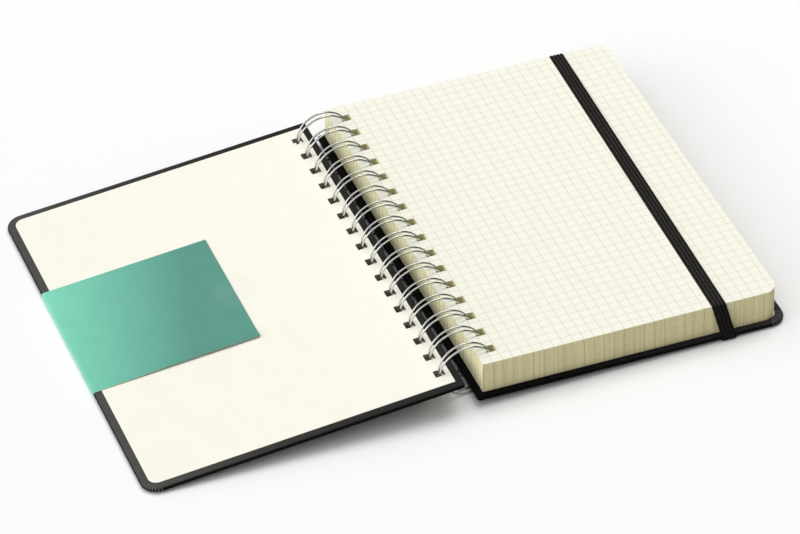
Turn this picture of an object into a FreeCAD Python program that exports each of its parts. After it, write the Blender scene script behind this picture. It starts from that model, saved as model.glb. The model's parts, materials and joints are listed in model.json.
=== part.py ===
import FreeCAD, Part
import math
import os

# Wire-bound A5 notebook, lying open on a table, in millimetres.
# It is built as a closed stack first: x runs from the block's spine edge to its fore edge,
# y from tail to head with 0 at mid height, z up from the underside of the page block.
# The front cover is then laid back on the wire loops, and the whole book is set on the table.

# Page block
page_width = 148.0
page_height = 210.0
block_thickness = 16.2
block_corner_radius = 7.0

# Punched holes, one for each wire loop
loop_count = 16
loop_pitch = 12.7
hole_length = 4.7
hole_corner_radius = 0.4
page_hole_width = 4.6
page_hole_from_spine = 7.4
cover_hole_width = 4.9
cover_hole_from_spine = 8.2

# Covers: a grey board, a leatherette wrap turned in round its edges, and an endpaper
cover_overhang_head_tail = 3.0
cover_overhang_fore = 4.0
cover_overhang_spine = 3.5
board_thickness = 1.8
wrap_thickness = 0.3
endpaper_thickness = 0.2
cover_corner_radius = 8.0
cover_spine_corner_radius = 1.5
cover_edge_radius = 1.0
turn_in_width = 14.0
endpaper_margin = 4.0
endpaper_margin_spine = 3.5
endpaper_corner_radius = 4.5
endpaper_spine_corner_radius = 0.4

# Twin-loop wire, one length of wire bent to a comb and closed to rings
wire_diameter = 1.0
ring_radius = 13.3
ring_center_from_spine = -4.4
ring_center_below_page = 8.2
wire_pair_spacing = 3.2
base_bend_radius = 1.3
seam_gap = 0.4
comb_end_stub = 1.6
seam_angle = 203.0

# Front cover on the wire, angles in degrees from +x towards +z, seen from the tail
cover_hang_angle = 180.0
wire_in_cover_hole = 0.1
closed_gap_at_wire = 0.4
closed_gap_over_band = 0.3
fold_back_travel = 90.0

# Elastic closing band, its ends fixed in slots through the back cover
elastic_width = 8.0
elastic_thickness = 0.8
elastic_from_spine = 119.4
elastic_slant = 1.2
elastic_slot_from_edge = 9.0
elastic_slot_clearance = 0.15
elastic_end_depth = 2.2

# Paper band folded round the front cover's outer edge, and the clear seal on its end
paper_band_thickness = 0.2
paper_band_height = 79.0
paper_band_toward_head = 7.0
paper_band_inner_length = 82.5
paper_band_outer_length = 82.5
seal_diameter = 25.0
seal_thickness = 0.1
seal_toward_head = 3.5
seal_past_band_end = 2.5
seal_step_length = 1.0

# Derived sizes
cover_width = page_width + cover_overhang_fore + cover_overhang_spine
cover_height = page_height + 2 * cover_overhang_head_tail
cover_shell = board_thickness + 2 * wrap_thickness
cover_thickness = cover_shell + endpaper_thickness
wire_radius = wire_diameter / 2
ring_outer_radius = ring_radius + wire_radius
ring_x = ring_center_from_spine
ring_z = block_thickness - ring_center_below_page
hinge_from_spine = cover_hole_from_spine + wire_in_cover_hole
loop_places = [(i - (loop_count - 1) / 2) * loop_pitch for i in range(loop_count)]


def vec(x, y, z):
    return FreeCAD.Vector(x, y, z)


def box(x0, x1, y0, y1, z0, z1):
    return Part.makeBox(x1 - x0, y1 - y0, z1 - z0, vec(x0, y0, z0))


def round_upright_edges(shape, x, radius):
    """Fillet the upright edges that stand at one x."""
    if radius <= 0:
        return shape
    edges = []
    for edge in shape.Edges:
        ends = [v.Point for v in edge.Vertexes]
        upright = len(ends) == 2 and abs(ends[0].z - ends[1].z) > 1e-6
        if upright and all(abs(p.x - x) < 1e-6 for p in ends):
            edges.append(edge)
    return shape.makeFillet(radius, edges)


def rim_edges(shape, z):
    """The edges of the flat face at one height."""
    return [e for e in shape.Edges if all(abs(v.Point.z - z) < 1e-6 for v in e.Vertexes)]


def plate(x0, x1, half_height, z0, z1, spine_radius, fore_radius):
    body = box(x0, x1, -half_height, half_height, z0, z1)
    body = round_upright_edges(body, x0, spine_radius)
    return round_upright_edges(body, x1, fore_radius)


def punches(center_x, width, z0, z1):
    """One round-cornered punch for each wire loop."""
    tools = []
    for y in loop_places:
        x0 = center_x - width / 2
        x1 = center_x + width / 2
        punch = box(x0, x1, y - hole_length / 2, y + hole_length / 2, z0, z1)
        punch = round_upright_edges(punch, x0, hole_corner_radius)
        tools.append(round_upright_edges(punch, x1, hole_corner_radius))
    return tools


def make_page_block():
    body = plate(0, page_width, page_height / 2, 0, block_thickness, 0, block_corner_radius)
    return body.cut(punches(page_hole_from_spine, page_hole_width, -1, block_thickness + 1))


def make_cover():
    """Board, wrap and endpaper, with x from the cover's spine edge and z from its outer face."""
    outer = plate(0, cover_width, cover_height / 2, 0, cover_shell,
                  cover_spine_corner_radius, cover_corner_radius)
    outer = outer.makeFillet(cover_edge_radius, rim_edges(outer, 0) + rim_edges(outer, cover_shell))
    skin = wrap_thickness
    board = plate(skin, cover_width - skin, cover_height / 2 - skin, skin, cover_shell - skin,
                  cover_spine_corner_radius - skin, cover_corner_radius - skin)
    board_rims = rim_edges(board, skin) + rim_edges(board, cover_shell - skin)
    board = board.makeFillet(cover_edge_radius - skin, board_rims)
    window = box(turn_in_width, cover_width - turn_in_width,
                 turn_in_width - cover_height / 2, cover_height / 2 - turn_in_width,
                 cover_shell - skin, cover_shell)
    board = board.fuse(window).removeSplitter()
    wrap = outer.cut(board)
    endpaper = plate(endpaper_margin_spine, cover_width - endpaper_margin,
                     cover_height / 2 - endpaper_margin, cover_shell, cover_thickness,
                     endpaper_spine_corner_radius, endpaper_corner_radius)
    tools = punches(cover_hole_from_spine, cover_hole_width, -1, cover_thickness + 1)
    return [piece.cut(tools) for piece in (board, wrap, endpaper)]


def ring_point(angle, y):
    a = math.radians(angle)
    return vec(ring_x + ring_radius * math.cos(a), y, ring_z + ring_radius * math.sin(a))


def ring_tangent(angle):
    a = math.radians(angle)
    return vec(-math.sin(a), 0, math.cos(a))


def ring_arc(angle_from, angle_to, y):
    middle = (angle_from + angle_to) / 2
    return Part.Arc(ring_point(angle_from, y), ring_point(middle, y), ring_point(angle_to, y)).toShape()


def make_wire_comb():
    """One wire: each loop runs round the rings, turns back at its tip and returns to the base."""
    half = wire_pair_spacing / 2
    per_degree = math.radians(1) * ring_radius
    base_angle = seam_angle + base_bend_radius / per_degree
    tip_angle = seam_angle + 360 - (wire_diameter + seam_gap + half) / per_degree
    middle_angle = (base_angle + tip_angle) / 2
    back = ring_tangent(base_angle) * -base_bend_radius
    onward = ring_tangent(tip_angle) * half
    along = vec(0, base_bend_radius, 0)
    lean = math.sqrt(0.5)
    edges = []
    bar_start = None
    for y in loop_places:
        foot = ring_point(base_angle, y - half)
        foot_end = foot + back - along
        foot_middle = foot - along + along * lean + back * lean
        if bar_start is None:
            bar_start = foot_end - vec(0, comb_end_stub, 0)
        edges.append(Part.makeLine(bar_start, foot_end))
        edges.append(Part.Arc(foot_end, foot_middle, foot).toShape())
        edges.append(ring_arc(base_angle, middle_angle, y - half))
        edges.append(ring_arc(middle_angle, tip_angle, y - half))
        edges.append(Part.Arc(ring_point(tip_angle, y - half), ring_point(tip_angle, y) + onward,
                              ring_point(tip_angle, y + half)).toShape())
        edges.append(ring_arc(tip_angle, middle_angle, y + half))
        edges.append(ring_arc(middle_angle, base_angle, y + half))
        heel = ring_point(base_angle, y + half)
        heel_end = heel + back + along
        heel_middle = heel + along - along * lean + back * lean
        edges.append(Part.Arc(heel, heel_middle, heel_end).toShape())
        bar_start = heel_end
    edges.append(Part.makeLine(bar_start, bar_start + vec(0, comb_end_stub, 0)))
    path = Part.Wire(edges)
    section = Part.Wire(Part.makeCircle(wire_radius, path.Edges[0].Vertexes[0].Point, vec(0, 1, 0)))
    return path.makePipeShell([section], True, True)


def make_elastic_band():
    """A flat band over the pages, down the head and tail, and into the back cover from below."""
    low = -cover_thickness
    edge = cover_height / 2
    corners = [(-edge, low), (-edge, 0), (-page_height / 2, block_thickness),
               (page_height / 2, block_thickness), (edge, 0), (edge, low)]
    points = [vec(0, y, z) for y, z in corners]
    outline = Part.makePolygon(points + points[:1])
    core = Part.Face(outline)
    around = Part.Face(outline.makeOffset2D(elastic_thickness))
    slot_y = edge - elastic_slot_from_edge
    band = around.cut(core).extrude(vec(elastic_width, 0, 0))
    band.translate(vec(-elastic_width / 2, 0, 0))
    half = elastic_width / 2
    gap = box(-half - 1, half + 1, -slot_y, slot_y, low - elastic_thickness - 1, low / 2)
    band = band.cut(gap)
    for y0 in (-slot_y, slot_y - elastic_thickness):
        leg = box(-half, half, y0, y0 + elastic_thickness,
                  low - elastic_thickness, low + elastic_end_depth)
        band = band.fuse(leg)
    return place_elastic(band.removeSplitter())


def place_elastic(shape):
    """The band lies a little slanted across the page."""
    shape.rotate(vec(0, 0, 0), vec(0, 0, 1), -elastic_slant)
    shape.translate(vec(elastic_from_spine, 0, 0))
    return shape


def elastic_slots():
    """Slots through the back cover's wrap and board, in the same places as the band's ends."""
    half = elastic_width / 2 + elastic_slot_clearance
    slot_y = cover_height / 2 - elastic_slot_from_edge
    slots = []
    for y0 in (-slot_y, slot_y - elastic_thickness):
        slot = box(-half, half, y0 - elastic_slot_clearance,
                   y0 + elastic_thickness + elastic_slot_clearance,
                   -cover_thickness - 1, -endpaper_thickness)
        slots.append(place_elastic(slot))
    return slots


def edge_fold(grow):
    """Outline of the paper band's fold round the cover's outer edge, grown by its thickness."""
    r = cover_edge_radius
    far = r + grow
    lean = math.sqrt(0.5) * far
    x = cover_width - r
    top = cover_thickness - r
    low_start = vec(cover_width - paper_band_outer_length, 0, -grow)
    high_end = vec(cover_width - paper_band_inner_length, 0, cover_thickness + grow)
    return [
        Part.makeLine(low_start, vec(x, 0, -grow)),
        Part.Arc(vec(x, 0, -grow), vec(x + lean, 0, r - lean), vec(x + far, 0, r)).toShape(),
        Part.makeLine(vec(x + far, 0, r), vec(x + far, 0, top)),
        Part.Arc(vec(x + far, 0, top), vec(x + lean, 0, top + lean), vec(x, 0, top + far)).toShape(),
        Part.makeLine(vec(x, 0, top + far), high_end),
    ]


def make_paper_band():
    inside = edge_fold(0)
    outside = edge_fold(paper_band_thickness)
    start = Part.makeLine(inside[0].Vertexes[0].Point, outside[0].Vertexes[0].Point)
    end = Part.makeLine(inside[-1].Vertexes[-1].Point, outside[-1].Vertexes[-1].Point)
    ordered = Part.sortEdges([start] + inside + [end] + outside)[0]
    band = Part.Face(Part.Wire(ordered)).extrude(vec(0, paper_band_height, 0))
    band.translate(vec(0, -paper_band_toward_head - paper_band_height / 2, 0))
    return band


def make_round_seal():
    """A thin clear disc, half on the paper band's end and half on the endpaper."""
    band_end = cover_width - paper_band_inner_length
    middle = band_end - seal_past_band_end
    radius = seal_diameter / 2
    low = cover_thickness
    high = cover_thickness + paper_band_thickness
    under = [(middle - radius - 1, low), (band_end - seal_step_length, low),
             (band_end, high), (middle + radius + 1, high)]
    over = [(x, z + seal_thickness) for x, z in reversed(under)]
    points = [vec(x, 0, z) for x, z in under + over]
    sheet = Part.Face(Part.makePolygon(points + points[:1])).extrude(vec(0, 2 * radius + 2, 0))
    sheet.translate(vec(0, -radius - 1 - seal_toward_head, 0))
    disc = Part.makeCylinder(radius, 2 * cover_thickness, vec(middle, -seal_toward_head, 0))
    return sheet.common(disc)


def tilt_on(x, z, radius):
    """Tilt of the block when a round edge at this place and the rings both touch the table."""
    run = x - ring_x
    rise = ring_z - z
    drop = math.asin((ring_outer_radius - radius) / math.hypot(run, rise))
    return drop - math.atan2(rise, run)


def table_tilt():
    """The block leans on its rings and, at the fore side, on the elastic or the cover's edge."""
    fore_edge = tilt_on(page_width + cover_overhang_fore - cover_edge_radius,
                        cover_edge_radius - cover_thickness, cover_edge_radius)
    slant = math.radians(elastic_slant)
    corner = elastic_width / 2 * math.cos(slant) + cover_height / 2 * math.sin(abs(slant))
    elastic_edge = tilt_on(elastic_from_spine + corner, -cover_thickness - elastic_thickness, 0)
    return min(fore_edge, elastic_edge)


def cover_direction_on_table(tilt):
    """Direction of the front cover when its banded outer edge lies on the table."""
    hinge = ring_point(cover_hang_angle, 0)
    spin = hinge - vec(ring_x, 0, ring_z)
    hinge_height = ring_outer_radius + spin.z * math.cos(tilt) - spin.x * math.sin(tilt)
    reach_x = cover_width - cover_edge_radius - hinge_from_spine
    reach_z = cover_thickness / 2 - cover_edge_radius
    reach = math.hypot(reach_x, reach_z)
    drop = hinge_height - cover_edge_radius - paper_band_thickness
    lean = math.asin(drop / reach) - math.atan2(reach_z, reach_x)
    return 180 + math.degrees(lean + tilt)


def closed_pose():
    """Place of the hinge on the ring and direction of the cover, with the book shut."""
    rise = elastic_thickness + paper_band_thickness + closed_gap_over_band
    run = elastic_from_spine - elastic_width / 2 - page_hole_from_spine
    direction = math.degrees(math.atan2(rise, run))
    height = ring_center_below_page + closed_gap_at_wire + cover_thickness / 2
    return math.degrees(math.asin(height / ring_radius)), direction


def lay_on_wire(shape, hang_angle, direction):
    """Hang a piece of the front cover on the wire: inner face down when the direction is 0."""
    shape.translate(vec(-hinge_from_spine, 0, -cover_thickness / 2))
    shape.rotate(vec(0, 0, 0), vec(1, 0, 0), 180)
    shape.rotate(vec(0, 0, 0), vec(0, 1, 0), -direction)
    shape.translate(ring_point(hang_angle, 0))
    return shape


def to_table(point_or_shape, tilt):
    """Turn the closed-stack frame so that the table is level."""
    if isinstance(point_or_shape, FreeCAD.Vector):
        turn = FreeCAD.Rotation(vec(0, 1, 0), math.degrees(tilt))
        return turn.multVec(point_or_shape)
    point_or_shape.rotate(vec(0, 0, 0), vec(0, 1, 0), math.degrees(tilt))
    return point_or_shape


def main():
    tilt = table_tilt()
    direction = cover_direction_on_table(tilt)
    nodes = {"page_block": make_page_block(), "wire_comb": make_wire_comb(),
             "elastic_band": make_elastic_band()}

    slots = elastic_slots()
    for name, piece in zip(("back_board", "back_wrap", "back_endpaper"), make_cover()):
        piece.translate(vec(-cover_overhang_spine, 0, -cover_thickness))
        nodes[name] = piece if name == "back_endpaper" else piece.cut(slots)

    front = dict(zip(("front_board", "front_wrap", "front_endpaper"), make_cover()))
    front["paper_band"] = make_paper_band()
    front["round_seal"] = make_round_seal()
    for name, piece in front.items():
        nodes[name] = lay_on_wire(piece, cover_hang_angle, direction)

    boxes = [to_table(piece, tilt).optimalBoundingBox(True, False) for piece in nodes.values()]
    middle_x = (min(b.XMin for b in boxes) + max(b.XMax for b in boxes)) / 2
    shift = vec(-middle_x, 0, -min(b.ZMin for b in boxes))
    os.makedirs("parts", exist_ok=True)
    for name, piece in nodes.items():
        piece.translate(shift)
        solid = piece.Solids[0] if len(piece.Solids) == 1 else piece
        solid.exportStep("parts/" + name + ".step")
        print(name, "solids", len(piece.Solids), "valid", piece.isValid(), "volume", round(piece.Volume, 1))

    hang_closed, direction_closed = closed_pose()
    turn_closed = cover_hang_angle - hang_closed
    swing_closed = direction - direction_closed - turn_closed
    ratio = swing_closed / turn_closed
    print("tilt of the block", round(math.degrees(tilt), 4), "direction of the cover", round(direction, 4))
    print("wire turn, closed", round(turn_closed, 4), "folded back", -fold_back_travel)
    print("cover swing, closed", round(swing_closed, 4), "folded back", round(-fold_back_travel * ratio, 4))
    print("ratio", round(ratio, 6))
    print("ring axis", to_table(vec(ring_x, 0, ring_z), tilt) + shift)
    print("hinge axis", to_table(ring_point(cover_hang_angle, 0), tilt) + shift)
    print("back face point", to_table(vec(page_width / 2, 0, -cover_thickness), tilt) + shift)
    print("back face normal", to_table(vec(0, 0, -1), tilt))


main()
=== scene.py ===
import json
import math
import bmesh
import bpy
from mathutils import Matrix, Quaternion, Vector


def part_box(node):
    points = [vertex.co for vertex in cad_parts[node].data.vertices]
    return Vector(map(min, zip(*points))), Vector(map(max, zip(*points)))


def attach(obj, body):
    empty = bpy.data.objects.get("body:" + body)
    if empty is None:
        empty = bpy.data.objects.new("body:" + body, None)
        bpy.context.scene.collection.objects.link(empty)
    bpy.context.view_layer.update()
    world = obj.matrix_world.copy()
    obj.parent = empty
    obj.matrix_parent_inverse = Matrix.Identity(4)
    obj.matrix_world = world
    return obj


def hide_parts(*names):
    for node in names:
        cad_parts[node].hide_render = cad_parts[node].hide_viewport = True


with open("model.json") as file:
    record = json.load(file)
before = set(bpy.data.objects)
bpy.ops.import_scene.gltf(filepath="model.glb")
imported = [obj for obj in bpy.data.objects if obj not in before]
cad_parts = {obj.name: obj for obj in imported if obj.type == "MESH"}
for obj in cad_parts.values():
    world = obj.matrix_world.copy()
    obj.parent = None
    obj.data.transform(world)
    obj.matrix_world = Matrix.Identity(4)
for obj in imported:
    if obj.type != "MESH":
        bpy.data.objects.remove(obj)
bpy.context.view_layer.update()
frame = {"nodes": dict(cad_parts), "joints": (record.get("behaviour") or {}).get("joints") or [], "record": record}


# Table and studio
# The notebook lies on a wide white table under one large soft lamp hung above its right
# side, with a weaker one low at its left, in a room that is dark towards the right.
MM = 0.001
table_half_width = 30.0
bright_side_of_room = (-0.74, 0.05, 0.67)
camera_place = Vector((-607.3, -1745.3, 1482.7)) * MM
camera_aim = Vector((2.0, -9.4, 10.0)) * MM
camera_roll = math.radians(-2.31)


def new_material(name, **values):
    """A material, with its shader's sockets set by name (underscores stand for spaces)."""
    material = bpy.data.materials.new(name)
    material.use_nodes = True
    tree = material.node_tree
    shader = tree.nodes["Principled BSDF"]
    for socket, value in values.items():
        shader.inputs[socket.replace("_", " ")].default_value = value
    return material, tree, shader


def add_node(tree, kind, **values):
    """Add one node and set its attributes."""
    node = tree.nodes.new(kind)
    for name, value in values.items():
        setattr(node, name, value)
    return node


def map_range(tree, value, before=(0.0, 1.0), after=(0.0, 1.0), blend="LINEAR"):
    """Carry a value from one range of numbers to another."""
    node = add_node(tree, "ShaderNodeMapRange", interpolation_type=blend)
    node.inputs["From Min"].default_value, node.inputs["From Max"].default_value = before
    node.inputs["To Min"].default_value, node.inputs["To Max"].default_value = after
    tree.links.new(value, node.inputs["Value"])
    return node.outputs["Result"]


def make_object(name, mesh, material):
    """Turn a finished bmesh into an object that lies at the origin."""
    data = bpy.data.meshes.new(name)
    mesh.to_mesh(data)
    mesh.free()
    data.materials.append(material)
    made = bpy.data.objects.new(name, data)
    bpy.context.scene.collection.objects.link(made)
    return made


def make_table():
    mesh = bmesh.new()
    bmesh.ops.create_grid(mesh, x_segments=1, y_segments=1, size=table_half_width)
    material = new_material("white_table", Base_Color=(0.965, 0.965, 0.968, 1),
                            Roughness=0.6, Specular_IOR_Level=0.2)[0]
    make_object("table_top", mesh, material)


def make_room():
    """Bright on its upper left and dark away from it, which gives the wire its dark edges."""
    world = bpy.data.worlds.new("studio_room")
    bpy.context.scene.world = world
    world.use_nodes = True
    tree = world.node_tree
    room = tree.nodes["Background"]
    room.inputs["Color"].default_value = (1, 1, 1, 1)
    where = add_node(tree, "ShaderNodeTexCoord")
    towards = add_node(tree, "ShaderNodeVectorMath", operation="DOT_PRODUCT")
    towards.inputs[1].default_value = bright_side_of_room
    tree.links.new(where.outputs["Generated"], towards.inputs[0])
    strength = map_range(tree, towards.outputs["Value"], (-0.1, 0.85), (0.05, 1.0), "SMOOTHSTEP")
    tree.links.new(strength, room.inputs["Strength"])


def add_light(name, place, size, power):
    """A round soft lamp that points at the notebook."""
    lamp = bpy.data.lights.new(name, "AREA")
    lamp.shape = "DISK"
    lamp.size = size
    lamp.energy = power
    light = bpy.data.objects.new(name, lamp)
    bpy.context.scene.collection.objects.link(light)
    light.location = place
    light.rotation_mode = "QUATERNION"
    light.rotation_quaternion = (-Vector(place)).to_track_quat("-Z", "Y")


def make_camera():
    """A long lens, seen from above the near left side and turned a little on its own axis."""
    lens = bpy.data.cameras.new("camera")
    lens.sensor_width = 36
    lens.lens = 225
    lens.clip_start = 0.05
    camera = bpy.data.objects.new("camera", lens)
    bpy.context.scene.collection.objects.link(camera)
    camera.location = camera_place
    camera.rotation_mode = "QUATERNION"
    level = (camera_aim - camera_place).to_track_quat("-Z", "Y")
    camera.rotation_quaternion = level @ Quaternion((0, 0, 1), camera_roll)
    bpy.context.scene.camera = camera


bpy.context.scene.view_settings.view_transform = "Standard"
make_table()
make_room()
make_camera()
add_light("soft_box", place=(1.2, 0.9, 3.4), size=2.6, power=59)
add_light("left_fill", place=(-3.2, -0.2, 1.0), size=2.2, power=21)


# Page block
# Cream sheets with a printed grey grid of small squares that runs off every edge,
# cut flush, so the grid also shows as short upright marks down the block's sides.
squares = 5 * MM
page_color = (0.945, 0.928, 0.80, 1)
page_line_color = (0.70, 0.70, 0.575, 1)
sheet_edge_color = (0.70, 0.64, 0.37, 1)
# Painted bounce light: the block's spine side is painted lighter and yellower than its other cut sides
spine_edge_painted_light_color = (0.99, 0.94, 0.59, 1)
edge_mark_color = (0.36, 0.33, 0.21, 1)
edge_mark_strength = 0.7
edge_mark_wander = 0.5 * MM
print_half_width = 0.09 * MM
print_soft_edge = 0.12 * MM
sheet_relief = 0.12 * MM
page_top_in_stack = 16.2 * MM
ring_in_stack = Vector((-4.4, 0, 8.0)) * MM
ring_center = Vector(frame["joints"][0]["pos_m"])
rest_axis = frame["record"]["mounts"][0]["axis"]
tilt = math.atan2(-rest_axis[0], -rest_axis[2])
stack_to_table = (Matrix.Translation(ring_center) @ Matrix.Rotation(tilt, 4, "Y")
                  @ Matrix.Translation(-ring_in_stack))
page_spine_x = (stack_to_table @ Vector((0, 0, page_top_in_stack))).x


def math_node(tree, operation, first, second=None):
    """One Math node, fed by sockets or plain numbers."""
    node = add_node(tree, "ShaderNodeMath", operation=operation)
    for socket, value in zip(node.inputs, (first, second)):
        if value is None:
            continue
        if isinstance(value, (int, float)):
            socket.default_value = value
        else:
            tree.links.new(value, socket)
    return node.outputs[0]


def split(tree, vector):
    """The X, Y and Z of a place or a direction."""
    node = add_node(tree, "ShaderNodeSeparateXYZ")
    tree.links.new(vector, node.inputs[0])
    return node.outputs


def new_group(name, inputs, outputs):
    """A node group with named inputs, each with its kind and value, and named outputs."""
    group = bpy.data.node_groups.new(name, "ShaderNodeTree")
    for label, kind, value in inputs:
        socket = group.interface.new_socket(label, in_out="INPUT", socket_type=kind)
        if value is not None:
            socket.default_value = value
    for label in outputs:
        group.interface.new_socket(label, in_out="OUTPUT", socket_type="NodeSocketFloat")
    return group, group.nodes.new("NodeGroupInput"), group.nodes.new("NodeGroupOutput")


def make_ruled_lines():
    """Parallel lines at a pitch: 1 on a line and 0 between."""
    group, given, made = new_group(
        "ruled_lines",
        [("Place", "NodeSocketFloat", None), ("Pitch", "NodeSocketFloat", squares),
         ("Half Width", "NodeSocketFloat", print_half_width),
         ("Soft", "NodeSocketFloat", print_soft_edge)],
        ["Mask"])
    pitch = given.outputs["Pitch"]
    steps = math_node(group, "DIVIDE", given.outputs["Place"], pitch)
    shifted = math_node(group, "ADD", steps, 0.5)
    part = math_node(group, "SUBTRACT", math_node(group, "FRACT", shifted), 0.5)
    distance = math_node(group, "MULTIPLY", math_node(group, "ABSOLUTE", part), pitch)
    past = math_node(group, "SUBTRACT", distance, given.outputs["Half Width"])
    fade = math_node(group, "DIVIDE", past, given.outputs["Soft"])
    mask = add_node(group, "ShaderNodeMath", operation="SUBTRACT", use_clamp=True)
    mask.inputs[0].default_value = 1
    group.links.new(fade, mask.inputs[1])
    group.links.new(mask.outputs[0], made.inputs["Mask"])
    return group


def make_mottle():
    """Fine uneven tone and a matching height, stretched along any axis."""
    group, given, made = new_group(
        "mottle",
        [("Place", "NodeSocketVector", None), ("Stretch", "NodeSocketVector", None),
         ("Low", "NodeSocketFloat", 0.9), ("High", "NodeSocketFloat", 1.05)],
        ["Tone", "Height"])
    scaled = add_node(group, "ShaderNodeVectorMath", operation="MULTIPLY")
    group.links.new(given.outputs["Place"], scaled.inputs[0])
    group.links.new(given.outputs["Stretch"], scaled.inputs[1])
    noise = add_node(group, "ShaderNodeTexNoise")
    noise.inputs["Scale"].default_value = 1
    noise.inputs["Detail"].default_value = 3
    group.links.new(scaled.outputs[0], noise.inputs["Vector"])
    tone = add_node(group, "ShaderNodeMapRange")
    tone.inputs["From Min"].default_value = 0.3
    tone.inputs["From Max"].default_value = 0.7
    group.links.new(noise.outputs[0], tone.inputs["Value"])
    group.links.new(given.outputs["Low"], tone.inputs["To Min"])
    group.links.new(given.outputs["High"], tone.inputs["To Max"])
    group.links.new(tone.outputs["Result"], made.inputs["Tone"])
    group.links.new(noise.outputs[0], made.inputs["Height"])
    return group


ruled_lines_group = make_ruled_lines()
mottle_group = make_mottle()


def use_group(tree, group, **values):
    """Place a group in a material, with its inputs linked to sockets or set to values."""
    node = add_node(tree, "ShaderNodeGroup", node_tree=group)
    for name, value in values.items():
        socket = node.inputs[name.replace("_", " ")]
        if isinstance(value, bpy.types.NodeSocket):
            tree.links.new(value, socket)
        else:
            socket.default_value = value
    return node.outputs


def ruled_lines(tree, place, **values):
    """The mask of parallel lines, set out along one measure of place."""
    return use_group(tree, ruled_lines_group, Place=place, **values)["Mask"]


def mottle(tree, where, stretch, low, high):
    """The tone and the height of an unevenness; stretch is how often it changes per metre."""
    made = use_group(tree, mottle_group, Place=where.outputs["Object"], Stretch=stretch,
                     Low=low, High=high)
    return made["Tone"], made["Height"]


def mix_color(tree, factor, first, second):
    """Mix two colours by a factor; each is a socket or four numbers."""
    node = add_node(tree, "ShaderNodeMix", data_type="RGBA")
    tree.links.new(factor, node.inputs[0])
    for socket, value in zip((node.inputs[6], node.inputs[7]), (first, second)):
        if isinstance(value, bpy.types.NodeSocket):
            tree.links.new(value, socket)
        else:
            socket.default_value = value
    return node.outputs[2]


def tint(tree, color, tone):
    """Multiply a colour by a grey tone."""
    node = add_node(tree, "ShaderNodeVectorMath", operation="SCALE")
    if isinstance(color, bpy.types.NodeSocket):
        tree.links.new(color, node.inputs[0])
    else:
        node.inputs[0].default_value = color[:3]
    tree.links.new(tone, node.inputs["Scale"])
    return node.outputs[0]


def add_bump(tree, shader, height, depth):
    bump = add_node(tree, "ShaderNodeBump")
    bump.inputs["Distance"].default_value = depth
    tree.links.new(height, bump.inputs["Height"])
    tree.links.new(bump.outputs["Normal"], shader.inputs["Normal"])


def dress(name, material):
    """Put a material on a solid that the frame brings."""
    for material_slot in frame["nodes"][name].material_slots:
        material_slot.material = material


def make_squared_paper():
    material, tree, shader = new_material("squared_paper", Roughness=0.75,
                                          Specular_IOR_Level=0.25)
    where = add_node(tree, "ShaderNodeTexCoord")
    place = split(tree, where.outputs["Object"])
    facing = split(tree, where.outputs["Normal"])
    on_top = math_node(tree, "GREATER_THAN", facing["Z"], 0.5)
    on_sides = math_node(tree, "SUBTRACT", 1.0, on_top)
    on_ends = math_node(tree, "GREATER_THAN", math_node(tree, "ABSOLUTE", facing["Y"]), 0.5)
    painted_light_at_spine = math_node(tree, "LESS_THAN", facing["X"], -0.5)

    # Sheets that don't lie quite flush make the upright marks wander
    wander = mottle(tree, where, (40, 40, 170), -0.6, 0.6)[0]
    drift = math_node(tree, "MULTIPLY", wander, edge_mark_wander)
    drift = math_node(tree, "MULTIPLY", drift, on_sides)
    across = math_node(tree, "SUBTRACT", place["X"], page_spine_x)
    across_lines = ruled_lines(tree, math_node(tree, "ADD", across, drift))
    along_lines = ruled_lines(tree, math_node(tree, "ADD", place["Y"], drift))

    # The printed face
    fibre = mottle(tree, where, (260, 260, 260), 0.985, 1.01)[0]
    grid = math_node(tree, "MAXIMUM", across_lines, along_lines)
    printed = tint(tree, mix_color(tree, grid, page_color, page_line_color), fibre)

    # The cut sides, streaked along the sheets and down the knife's way
    marks = add_node(tree, "ShaderNodeMix", data_type="FLOAT")
    tree.links.new(on_ends, marks.inputs[0])
    tree.links.new(along_lines, marks.inputs[2])
    tree.links.new(across_lines, marks.inputs[3])
    marks = math_node(tree, "MULTIPLY", marks.outputs[0], edge_mark_strength)
    sheets, sheet_height = mottle(tree, where, (45, 45, 5200), 0.92, 1.06)
    knife = mottle(tree, where, (900, 900, 14), 0.90, 1.08)[0]
    # Painted bounce light: the spine side gets a lighter, yellower colour than the other cut sides
    cut_sheets_with_painted_light = mix_color(tree, painted_light_at_spine, sheet_edge_color, spine_edge_painted_light_color)
    edges = mix_color(tree, marks, cut_sheets_with_painted_light, edge_mark_color)
    edges = tint(tree, tint(tree, edges, sheets), knife)

    tree.links.new(mix_color(tree, on_top, edges, printed), shader.inputs["Base Color"])
    height = math_node(tree, "MULTIPLY", sheet_height, on_sides)
    add_bump(tree, shader, height, sheet_relief)
    return material


dress("page_block", make_squared_paper())


# Covers
# Grey board wrapped in fine-grained black leatherette, turned in round the edges and
# gathered into small creases at the rounded corners, under a glued cream endpaper.
cover_thickness = 2.6 * MM
half_cover = 108.0 * MM
cover_corner_inset = 8.0 * MM
crease_pitch = math.radians(11)
crease_half_width = 0.012
crease_soft_edge = 0.045
crease_color = (0.13, 0.125, 0.11, 1)
# The leatherette's colours paint light: deep black on the narrow edges is painted shade, the run from spine to
# outer edge is a painted reflection, and the back cover is painted darker than the front as shade
cover_edge_painted_shade_color = (0.0015, 0.0015, 0.002, 1)
cover_spine_end_painted_shade_color = {"front_wrap": (0.024, 0.0238, 0.022, 1),
                     "back_wrap": (0.004, 0.004, 0.004, 1)}
cover_outer_painted_reflection_color = {"front_wrap": (0.080, 0.0795, 0.073, 1),
                     "back_wrap": (0.036, 0.0355, 0.033, 1)}
pebbles_per_metre = 1500
leatherette_relief = 0.12 * MM
endpaper_color = (0.93, 0.91, 0.80, 1)
board_color = (0.30, 0.28, 0.25, 1)


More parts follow.
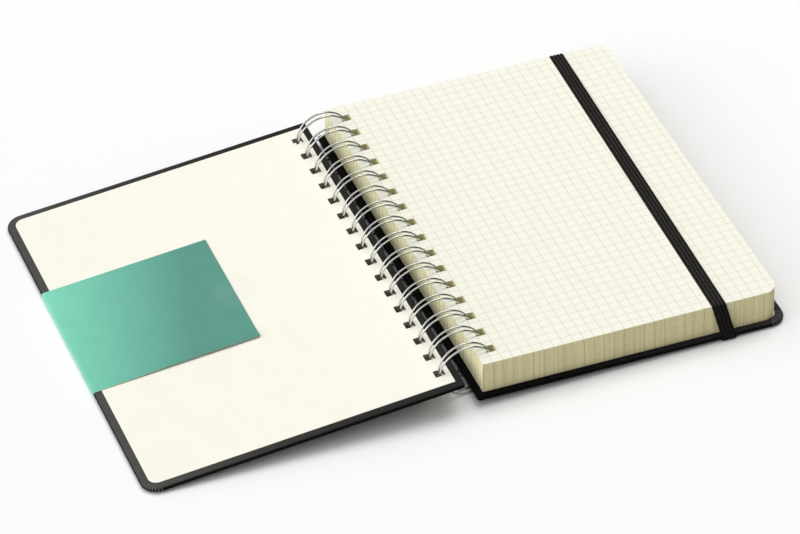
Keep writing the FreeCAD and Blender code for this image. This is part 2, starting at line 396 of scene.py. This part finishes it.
def make_leatherette(node):
    """Painted reflection lighter towards the cover's outer edge, painted sheen on its upward faces, and painted
    shade, deep black, on its narrow edges.
    """
    material, tree, shader = new_material(node + "_leatherette", Specular_IOR_Level=0.03)
    where = add_node(tree, "ShaderNodeTexCoord")
    place = split(tree, where.outputs["Object"])
    facing = split(tree, where.outputs["Normal"])
    low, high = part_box(node)
    outward = -1 if node == "front_wrap" else 1
    spine_x, outer_x = (high.x, low.x) if node == "front_wrap" else (low.x, high.x)

    # Creases fan out round each rounded outer corner
    corner_x = outer_x - outward * cover_corner_inset
    past_x = math_node(tree, "SUBTRACT", place["X"], corner_x)
    past_x = math_node(tree, "MULTIPLY", past_x, outward)
    past_y = math_node(tree, "SUBTRACT", math_node(tree, "ABSOLUTE", place["Y"]),
                       half_cover - cover_corner_inset)
    bearing = math_node(tree, "ARCTAN2", past_y, past_x)
    creases = ruled_lines(tree, bearing, Pitch=crease_pitch, Half_Width=crease_half_width,
                          Soft=crease_soft_edge)
    at_corner = math_node(tree, "MULTIPLY", math_node(tree, "GREATER_THAN", past_x, 0.0),
                          math_node(tree, "GREATER_THAN", past_y, 0.0))
    folds = math_node(tree, "MULTIPLY", creases, at_corner)

    cloud = mottle(tree, where, (120, 120, 120), 0.93, 1.08)[0]
    # Painted sheen: faces that look up are painted lighter, and the narrow edges are painted near-black as shade
    flat = math_node(tree, "ABSOLUTE", facing["Z"])
    flat = math_node(tree, "MULTIPLY", flat, flat)
    # Painted reflection, growing towards the cover's outer edge
    painted_reflection_share = math_node(tree, "POWER", map_range(tree, place["X"], (spine_x, outer_x)), 2.0)
    face = mix_color(tree, painted_reflection_share, cover_spine_end_painted_shade_color[node], cover_outer_painted_reflection_color[node])
    leather_with_painted_sheen = mix_color(tree, flat, cover_edge_painted_shade_color, face)
    leather_with_painted_sheen = mix_color(tree, folds, leather_with_painted_sheen, crease_color)
    tree.links.new(tint(tree, leather_with_painted_sheen, cloud), shader.inputs["Base Color"])

    pebbles = add_node(tree, "ShaderNodeTexVoronoi", feature="SMOOTH_F1")
    pebbles.inputs["Scale"].default_value = pebbles_per_metre
    tree.links.new(where.outputs["Object"], pebbles.inputs["Vector"])
    rough = map_range(tree, pebbles.outputs["Distance"], after=(0.42, 0.6))
    tree.links.new(rough, shader.inputs["Roughness"])
    grain = math_node(tree, "SUBTRACT", pebbles.outputs["Distance"],
                      math_node(tree, "MULTIPLY", folds, 3.0))
    add_bump(tree, shader, grain, leatherette_relief)
    return material


def make_endpaper():
    material, tree, shader = new_material("cream_endpaper", Roughness=0.7,
                                          Specular_IOR_Level=0.25)
    where = add_node(tree, "ShaderNodeTexCoord")
    fibre, fibre_height = mottle(tree, where, (90, 90, 90), 0.985, 1.01)
    tree.links.new(tint(tree, endpaper_color, fibre), shader.inputs["Base Color"])
    add_bump(tree, shader, fibre_height, 0.02 * MM)
    return material


def make_grey_board():
    material, tree, shader = new_material("grey_board", Roughness=0.9)
    where = add_node(tree, "ShaderNodeTexCoord")
    pulp, pulp_height = mottle(tree, where, (700, 700, 2200), 0.75, 1.15)
    tree.links.new(tint(tree, board_color, pulp), shader.inputs["Base Color"])
    add_bump(tree, shader, pulp_height, 0.1 * MM)
    return material


endpaper = make_endpaper()
grey_board = make_grey_board()
for side in ("front", "back"):
    dress(side + "_wrap", make_leatherette(side + "_wrap"))
    dress(side + "_endpaper", endpaper)
    dress(side + "_board", grey_board)


# Binding wire
# One length of bright plated wire, bent to a comb of hairpin loops and closed to rings:
# each loop narrows to its rounded tip, which hooks in between two feet of the comb.
wire_radius = 0.5 * MM
wire_color = (0.64, 0.64, 0.61, 1)
ring_radius = 13.3 * MM
degrees_per_metre = math.degrees(1) / ring_radius
loop_count = 16
loop_pitch = 12.7 * MM
pair_spacing = 3.2 * MM
tip_spacing = 1.7 * MM
foot_bend = 1.3 * MM
end_stub = 1.6 * MM
seam_angle = 203.0
taper_start = 475.0
tip_gap = 1.4 * MM
base_angle = seam_angle + foot_bend * degrees_per_metre
tip_angle = seam_angle + 360 - (tip_gap + tip_spacing / 2) * degrees_per_metre
degrees_per_step = 4.0
foot_turns = [math.radians(18 * i) for i in range(5)]
tip_turns = [math.pi * i / 8 for i in range(1, 8)]


def ring_point(angle, y):
    """A point on the rings, with the angle counted in the closed block's own frame."""
    turned = math.radians(angle) - tilt
    arm = Vector((math.cos(turned), 0, math.sin(turned))) * ring_radius
    return ring_center + arm + Vector((0, y, 0))


def ring_tangent(angle):
    turned = math.radians(angle) - tilt
    return Vector((-math.sin(turned), 0, math.cos(turned)))


def half_spacing(angle):
    """Half the distance between a loop's two wires, which eases to the narrow tip."""
    share = max(0.0, (angle - taper_start) / (tip_angle - taper_start))
    ease = (1 - math.cos(math.pi * share)) / 2
    return (pair_spacing + (tip_spacing - pair_spacing) * ease) / 2


def foot_point(y, side, turn):
    """A point of the bend where a loop's wire turns into the comb's foot."""
    inwards = Vector((0, side * foot_bend * (1 - math.sin(turn)), 0))
    back = ring_tangent(base_angle) * foot_bend * math.cos(turn)
    return ring_point(base_angle, y + side * pair_spacing / 2) + inwards - back


def loop_path(y):
    """Points along one loop, from its first foot to its second."""
    count = int((tip_angle - base_angle) / degrees_per_step)
    angles = [base_angle + (tip_angle - base_angle) * i / count for i in range(count + 1)]
    points = [foot_point(y, -1, turn) for turn in foot_turns]
    points += [ring_point(angle, y - half_spacing(angle)) for angle in angles]
    for turn in tip_turns:
        points.append(ring_point(tip_angle, y - tip_spacing / 2 * math.cos(turn))
                      + ring_tangent(tip_angle) * tip_spacing / 2 * math.sin(turn))
    points += [ring_point(angle, y + half_spacing(angle)) for angle in reversed(angles)]
    points += [foot_point(y, 1, turn) for turn in reversed(foot_turns)]
    return points


def make_bright_steel():
    material, tree, shader = new_material("bright_wire", Metallic=1.0)
    where = add_node(tree, "ShaderNodeTexCoord")
    drawn, drawn_height = mottle(tree, where, (900, 900, 900), 0.93, 1.04)
    tree.links.new(tint(tree, wire_color, drawn), shader.inputs["Base Color"])
    rough = map_range(tree, drawn_height, after=(0.14, 0.3))
    tree.links.new(rough, shader.inputs["Roughness"])
    return material


def make_twin_loop_wire():
    path = []
    for i in range(loop_count):
        path += loop_path((i - (loop_count - 1) / 2) * loop_pitch)
    path.insert(0, path[0] - Vector((0, end_stub, 0)))
    path.append(path[-1] + Vector((0, end_stub, 0)))
    line = bpy.data.curves.new("twin_loop_wire", "CURVE")
    line.dimensions = "3D"
    line.bevel_depth = wire_radius
    line.bevel_resolution = 3
    line.use_fill_caps = True
    spline = line.splines.new("POLY")
    spline.points.add(len(path) - 1)
    for point, place in zip(spline.points, path):
        point.co = (*place, 1)
    curve = bpy.data.objects.new("twin_loop_curve", line)
    bpy.context.scene.collection.objects.link(curve)
    bpy.context.view_layer.update()
    drawn_out = curve.evaluated_get(bpy.context.evaluated_depsgraph_get())
    mesh = bpy.data.meshes.new_from_object(drawn_out)
    bpy.data.objects.remove(curve)
    mesh.shade_smooth()
    mesh.materials.clear()
    mesh.materials.append(make_bright_steel())
    wire = bpy.data.objects.new("twin_loop_wire", mesh)
    bpy.context.scene.collection.objects.link(wire)
    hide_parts("wire_comb")
    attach(wire, "wire")


make_twin_loop_wire()


# Elastic closing band
# A flat woven elastic with lengthwise ribs, pulled over the pages and down both ends of
# the block, round the back cover's edges and into slots in its outer face.
elastic_width = 7.0 * MM
elastic_thickness = 0.72 * MM
elastic_rib_depth = 0.4 * MM
elastic_rib_count = 4
steps_per_rib = 6
elastic_slant = math.radians(1.2)
elastic_place = Vector((119.4, 0, 0)) * MM
elastic_bend = 0.5 * MM
elastic_lean = 4.6 * MM
elastic_color = (0.014, 0.0125, 0.011, 1)
elastic_thread_color = (0.105, 0.098, 0.09, 1)
half_page = 105.0 * MM
slot_inset = 9.0 * MM
slot_depth = 2.0 * MM


def rounded_route(corners, radius, steps):
    """Stations along a bent line with its corners made arcs: each a place and a direction."""
    stations = []
    for i, corner in enumerate(corners):
        if i in (0, len(corners) - 1):
            neighbour = corners[1] - corner if i == 0 else corner - corners[-2]
            stations.append((corner, math.atan2(neighbour.y, neighbour.x)))
            continue
        before = (corner - corners[i - 1]).normalized()
        after = (corners[i + 1] - corner).normalized()
        start = math.atan2(before.y, before.x)
        turn = (math.atan2(after.y, after.x) - start + math.pi) % (2 * math.pi) - math.pi
        begin = corner - before * radius * math.tan(abs(turn) / 2)
        centre = begin + Vector((-before.y, before.x)) * math.copysign(radius, turn)
        for k in range(steps + 1):
            part = turn * k / steps
            arm = Matrix.Rotation(part, 2) @ (begin - centre)
            stations.append((centre + arm, start + part))
    return stations


def make_woven_elastic():
    """Ribbed black cloth with paler threads in its grooves, with painted shade where it hangs down."""
    material, tree, shader = new_material("black_elastic", Roughness=0.75,
                                          Specular_IOR_Level=0.05)
    where = add_node(tree, "ShaderNodeTexCoord")
    place = split(tree, where.outputs["Object"])
    facing = split(tree, where.outputs["Normal"])
    yarn = mottle(tree, where, (2600, 900, 900), 0.6, 1.4)[0]
    share = add_node(tree, "ShaderNodeAttribute", attribute_name="rib_share")
    threads = ruled_lines(tree, share.outputs["Fac"], Pitch=1.0, Half_Width=0.04, Soft=0.12)
    cloth = mix_color(tree, threads, elastic_color, elastic_thread_color)
    # Painted shade: the strap is painted darker where it hangs down the block's ends
    cloth = tint(tree, cloth, map_range(tree, facing["Z"], after=(0.35, 1.0)))
    tree.links.new(tint(tree, cloth, yarn), shader.inputs["Base Color"])
    picks = ruled_lines(tree, place["Y"], Pitch=0.7 * MM, Half_Width=0.05 * MM,
                        Soft=0.25 * MM)
    add_bump(tree, shader, picks, 0.08 * MM)
    return material


def elastic_route():
    """Along the closed block's middle: out of one slot, over the pages, into the other."""
    tail = [(-half_cover + slot_inset, -cover_thickness + slot_depth),
            (-half_cover + slot_inset, -cover_thickness), (-half_cover, -cover_thickness),
            (-half_cover, 0), (-half_page, page_top_in_stack)]
    head = [(-y, z) for y, z in reversed(tail)]
    return rounded_route([Vector(corner) for corner in tail + head], elastic_bend, 5)


def elastic_section(mesh):
    """One face across the strap, with its ribs counted in the attribute rib_share."""
    ribs = mesh.verts.layers.float.new("rib_share")
    outline = [mesh.verts.new((x, 0, 0)) for x in (-elastic_width / 2, elastic_width / 2)]
    for vertex in outline:
        vertex[ribs] = 0.5
    steps = steps_per_rib * elastic_rib_count
    for i in range(steps + 1):
        share = i / steps
        swell = abs(math.sin(math.pi * share * elastic_rib_count)) ** 0.5
        height = elastic_thickness - elastic_rib_depth * (1 - swell)
        outline.append(mesh.verts.new((elastic_width * (0.5 - share), 0, height)))
        outline[-1][ribs] = share * elastic_rib_count if 0 < i < steps else 0.5
    return mesh.faces.new(outline)


def elastic_station(place, angle):
    """Where the section stands at one station; over the tail end the strap leans outwards."""
    drop = (page_top_in_stack - place.y) / (page_top_in_stack + cover_thickness)
    below = (place.x + half_cover) / slot_inset if place.y < 0 else 0.0
    lean = min(1.0, max(0.0, drop)) * (1 - min(1.0, max(0.0, below))) * elastic_lean
    if place.x >= 0:
        lean = 0.0
    return Matrix.Translation((lean, place.x, place.y)) @ Matrix.Rotation(angle, 4, "X")


def make_elastic():
    mesh = bmesh.new()
    section = elastic_section(mesh)
    last = Matrix.Identity(4)
    for i, (place, angle) in enumerate(elastic_route()):
        if i > 0:
            grown = bmesh.ops.extrude_face_region(mesh, geom=[section])
            # The face that the strap grows from stays only as its first end
            if i > 1:
                bmesh.ops.delete(mesh, geom=[section], context="FACES_ONLY")
            section = next(e for e in grown["geom"] if isinstance(e, bmesh.types.BMFace))
        station = elastic_station(place, angle)
        bmesh.ops.transform(mesh, matrix=station @ last.inverted(), verts=section.verts)
        last = station
    lay = (stack_to_table @ Matrix.Translation(elastic_place)
           @ Matrix.Rotation(-elastic_slant, 4, "Z"))
    bmesh.ops.transform(mesh, matrix=lay, verts=mesh.verts)
    bmesh.ops.recalc_face_normals(mesh, faces=mesh.faces)
    strap = make_object("elastic_strap", mesh, make_woven_elastic())
    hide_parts("elastic_band")
    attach(strap, "block")


make_elastic()


# Paper band
# A strip of smooth coloured paper folded round the front cover's outer edge. It is loose
# along its near side, where it stands a little off the endpaper.
# Painted sheen: the band runs from the lighter outer colour to the inner one
band_outer_painted_sheen_color = (0.21, 0.68, 0.50, 1)
band_inner_color = (0.092, 0.305, 0.24, 1)
band_edge_color = (0.50, 0.45, 0.15, 1)
band_height = 79.0 * MM
band_toward_head = 7.0 * MM
band_reach = 82.5 * MM
band_thickness = 0.2 * MM
band_lift = 0.9 * MM
band_lift_width = 9.0 * MM
band_flat_from_edge = 4.0 * MM
band_lift_run = 35.0 * MM
band_rows = 44
band_columns = 24
cover_width = 155.5 * MM
cover_round = 1.0 * MM
hinge_from_spine_edge = 8.3 * MM
cover_direction = math.radians(184.923)
cover_out = Vector((math.cos(cover_direction), 0, math.sin(cover_direction)))
cover_inside = Vector((math.sin(cover_direction), 0, -math.cos(cover_direction)))
cover_to_table = (Matrix.Translation(frame["joints"][1]["pos_m"])
                  @ Matrix((cover_out, (0, 1, 0), cover_inside)).transposed().to_4x4()
                  @ Matrix.Translation((-hinge_from_spine_edge, 0, -cover_thickness / 2)))


def make_band_paper():
    """Painted sheen, lighter towards the cover's outer edge and its head; uncoated at the cuts."""
    material, tree, shader = new_material("teal_band_paper", Roughness=0.45,
                                          Specular_IOR_Level=0.35)
    low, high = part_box("paper_band")
    where = add_node(tree, "ShaderNodeTexCoord")
    place = split(tree, where.outputs["Object"])
    facing = split(tree, where.outputs["Normal"])
    # Painted sheen, lighter towards the cover's outer edge and the band's head
    fade_end = low.x + 0.85 * (high.x - low.x)
    across = map_range(tree, place["X"], (low.x, fade_end))
    along = map_range(tree, place["Y"], (high.y, low.y), (0.0, 0.28))
    share = add_node(tree, "ShaderNodeMath", operation="ADD", use_clamp=True)
    tree.links.new(across, share.inputs[0])
    tree.links.new(along, share.inputs[1])
    fibre, fibre_height = mottle(tree, where, (130, 130, 130), 0.97, 1.02)
    band_with_painted_sheen = mix_color(tree, share.outputs[0], band_outer_painted_sheen_color, band_inner_color)
    cut = math_node(tree, "GREATER_THAN", math_node(tree, "ABSOLUTE", facing["Y"]), 0.7)
    shown = mix_color(tree, cut, band_with_painted_sheen, band_edge_color)
    tree.links.new(tint(tree, shown, fibre), shader.inputs["Base Color"])
    add_bump(tree, shader, fibre_height, 0.03 * MM)
    return material


def fold_line():
    """Places across and up the cover that the band's inner face follows, end to end."""
    line = []
    for i in range(band_columns + 1):
        across = cover_width - band_reach + (band_reach - cover_round) * i / band_columns
        line.append((across, cover_thickness))
    for degrees in range(15, 91, 15):
        turn = math.radians(degrees)
        line.append((cover_width - cover_round * (1 - math.sin(turn)),
                     cover_thickness - cover_round * (1 - math.cos(turn))))
    return line + [(across, cover_thickness - up) for across, up in reversed(line)]


def off_the_cover(place):
    """The direction square to the cover's face or rounded edge."""
    core = Vector((min(place.x, cover_width - cover_round), place.y,
                   min(max(place.z, cover_round), cover_thickness - cover_round)))
    return (place - core).normalized()


def make_teal_band():
    line = fold_line()
    mesh = bmesh.new()
    bmesh.ops.create_grid(mesh, x_segments=len(line) - 1, y_segments=band_rows, size=0.5)
    for vertex in mesh.verts:
        across, up = line[round((vertex.co.x + 0.5) * (len(line) - 1))]
        vertex.co = (across, band_toward_head + vertex.co.y * band_height, up)
    grown = bmesh.ops.extrude_face_region(mesh, geom=mesh.faces[:])
    for vertex in grown["geom"]:
        if isinstance(vertex, bmesh.types.BMVert):
            vertex.co += off_the_cover(vertex.co) * band_thickness
    for vertex in mesh.verts:
        from_near_side = vertex.co.y - band_toward_head + band_height / 2
        near = max(0.0, 1 - from_near_side / band_lift_width)
        inwards = (cover_width - vertex.co.x - band_flat_from_edge) / band_lift_run
        if vertex.co.z > cover_thickness / 2:
            vertex.co.z += band_lift * near * near * min(1.0, max(0.0, inwards))
    bmesh.ops.transform(mesh, matrix=cover_to_table, verts=mesh.verts)
    bmesh.ops.recalc_face_normals(mesh, faces=mesh.faces)
    band = make_object("teal_band", mesh, make_band_paper())
    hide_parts("paper_band")
    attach(band, "front_cover")


make_teal_band()


# Seal
# A round sticker of clear film that holds the band's inner end to the endpaper, stuck
# half on each, so it steps down at the band's end.
seal_radius = 12.5 * MM
seal_film = 0.04 * MM
seal_clearance = 0.03 * MM
seal_toward_head = 3.5 * MM
seal_past_band_end = 2.5 * MM
seal_step = 1.2 * MM


def make_clear_film():
    material, tree, shader = new_material("clear_sticker", Base_Color=(0.75, 0.95, 0.85, 1),
                                          Roughness=0.3, Specular_IOR_Level=0.3)
    where = add_node(tree, "ShaderNodeTexCoord")
    haze = mottle(tree, where, (200, 200, 200), 0.012, 0.022)[0]
    tree.links.new(haze, shader.inputs["Alpha"])
    return material


def make_clear_seal():
    band_end = cover_width - band_reach
    middle = Vector((band_end - seal_past_band_end, seal_toward_head,
                     cover_thickness + seal_clearance))
    mesh = bmesh.new()
    bmesh.ops.create_circle(mesh, cap_ends=True, segments=72, radius=seal_radius,
                            matrix=Matrix.Translation(middle))
    for across in (band_end - seal_step, band_end):
        everything = mesh.verts[:] + mesh.edges[:] + mesh.faces[:]
        bmesh.ops.bisect_plane(mesh, geom=everything, plane_co=(across, 0, 0),
                               plane_no=(1, 0, 0))
    for vertex in mesh.verts:
        rise = (vertex.co.x - band_end + seal_step) / seal_step
        vertex.co.z += band_thickness * min(1.0, max(0.0, rise))
    grown = bmesh.ops.extrude_face_region(mesh, geom=mesh.faces[:])
    top = [e for e in grown["geom"] if isinstance(e, bmesh.types.BMVert)]
    bmesh.ops.translate(mesh, verts=top, vec=(0, 0, seal_film))
    bmesh.ops.transform(mesh, matrix=cover_to_table, verts=mesh.verts)
    bmesh.ops.recalc_face_normals(mesh, faces=mesh.faces)
    seal = make_object("clear_seal", mesh, make_clear_film())
    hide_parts("round_seal")
    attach(seal, "front_cover")


make_clear_seal()
